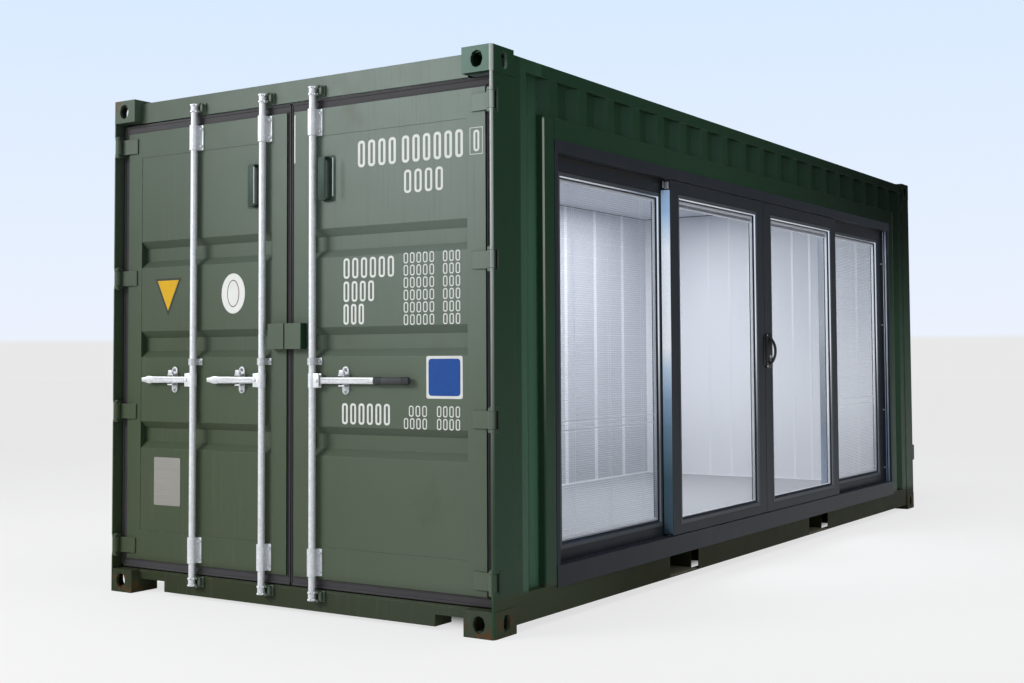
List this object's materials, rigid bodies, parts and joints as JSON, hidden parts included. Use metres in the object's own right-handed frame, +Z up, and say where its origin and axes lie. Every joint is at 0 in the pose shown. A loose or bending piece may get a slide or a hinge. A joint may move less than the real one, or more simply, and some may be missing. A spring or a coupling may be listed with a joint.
{
  "type": "shipping container cabin",
  "caption": "Green steel freight container used as a cabin: cargo doors with locking bars at one end and a glazed sliding door unit along one long side.",
  "frame": {"origin": "centre of the container on the ground, under its bounding box", "axes": "+X along the length towards the closed front end, cargo doors at -X, glazed long side at -Y, +Z up"},
  "size_m": [6.098, 2.486, 2.591],
  "materials": {
    "green_paint": "satin",
    "galvanised_steel": "satin",
    "anthracite_paint": "satin",
    "glass": "clear",
    "rubber_seal": "matt",
    "black_rubber": "matt",
    "black_plastic": "satin",
    "white_lining": "satin",
    "grey_floor": "matt"
  },
  "bodies": {
    "container": {"top_corner_castings": "green_paint", "bottom_corner_castings": "green_paint", "rear_corner_posts": "green_paint", "front_corner_posts": "green_paint", "door_header": "green_paint", "door_sill": "green_paint", "front_end_rails": "green_paint", "top_side_rails": "green_paint", "bottom_side_rails": "green_paint", "fork_pockets": "green_paint", "cross_members": "green_paint", "roof_panel": "green_paint", "front_wall": "green_paint", "back_wall": "green_paint", "walls_beside_glazing": "green_paint", "wall_above_glazing": "green_paint", "opening_posts": "green_paint", "opening_lintel": "green_paint", "cabin_floor": "grey_floor", "back_lining": "white_lining", "front_lining": "white_lining", "lining_beside_glazing": "white_lining", "lining_above_glazing": "white_lining", "ceiling": "white_lining", "glazing_head": "anthracite_paint", "glazing_sill": "anthracite_paint", "glazing_jambs": "anthracite_paint", "fixed_panel_frames": "anthracite_paint", "fixed_panes": "glass", "hinge_lugs": "green_paint", "lock_keepers": "green_paint", "power_inlet": "black_plastic"},
    "left_door": {"left_door_frame": "green_paint", "left_door_panel": "green_paint", "left_door_seal": "rubber_seal", "left_door_gear": "galvanised_steel", "left_door_fittings": "green_paint"},
    "right_door": {"right_door_frame": "green_paint", "right_door_panel": "green_paint", "right_door_seal": "rubber_seal", "right_door_gear": "galvanised_steel", "right_door_fittings": "green_paint"},
    "left_outer_bar": {"left_outer_bar": "galvanised_steel"},
    "left_inner_bar": {"left_inner_bar": "galvanised_steel"},
    "right_bar": {"right_bar": "galvanised_steel", "handle_grip": "black_rubber"},
    "left_sliding_panel": {"left_sliding_frame": "anthracite_paint", "left_sliding_pane": "glass"},
    "right_sliding_panel": {"right_sliding_frame": "anthracite_paint", "right_sliding_pane": "glass", "door_pulls": "black_plastic"}
  },
  "joints": [
    {"name": "left_door_hinge", "type": "hinge", "parent": "container", "child": "left_door", "pos_m": [-3.009, 1.199, 0.17], "axis": [0, 0, -1], "range_deg": [0, 260]},
    {"name": "right_door_hinge", "type": "hinge", "parent": "container", "child": "right_door", "pos_m": [-3.009, -1.199, 0.17], "axis": [0, 0, 1], "range_deg": [0, 260]},
    {"name": "left_outer_bar_turn", "type": "hinge", "parent": "left_door", "child": "left_outer_bar", "pos_m": [-3.004, 0.638, 1.11], "axis": [0, 0, -1], "range_deg": [-100, 0]},
    {"name": "left_inner_bar_turn", "type": "hinge", "parent": "left_door", "child": "left_inner_bar", "pos_m": [-3.004, 0.163, 1.11], "axis": [0, 0, -1], "range_deg": [-100, 0]},
    {"name": "right_bar_turn", "type": "hinge", "parent": "right_door", "child": "right_bar", "pos_m": [-3.004, -0.163, 1.11], "axis": [0, 0, 1], "range_deg": [-100, 0]},
    {"name": "left_panel_slide", "type": "slide", "parent": "container", "child": "left_sliding_panel", "axis": [-1, 0, 0], "range_m": [0, 1.15]},
    {"name": "right_panel_slide", "type": "slide", "parent": "container", "child": "right_sliding_panel", "axis": [1, 0, 0], "range_m": [0, 1.05]}
  ]
}
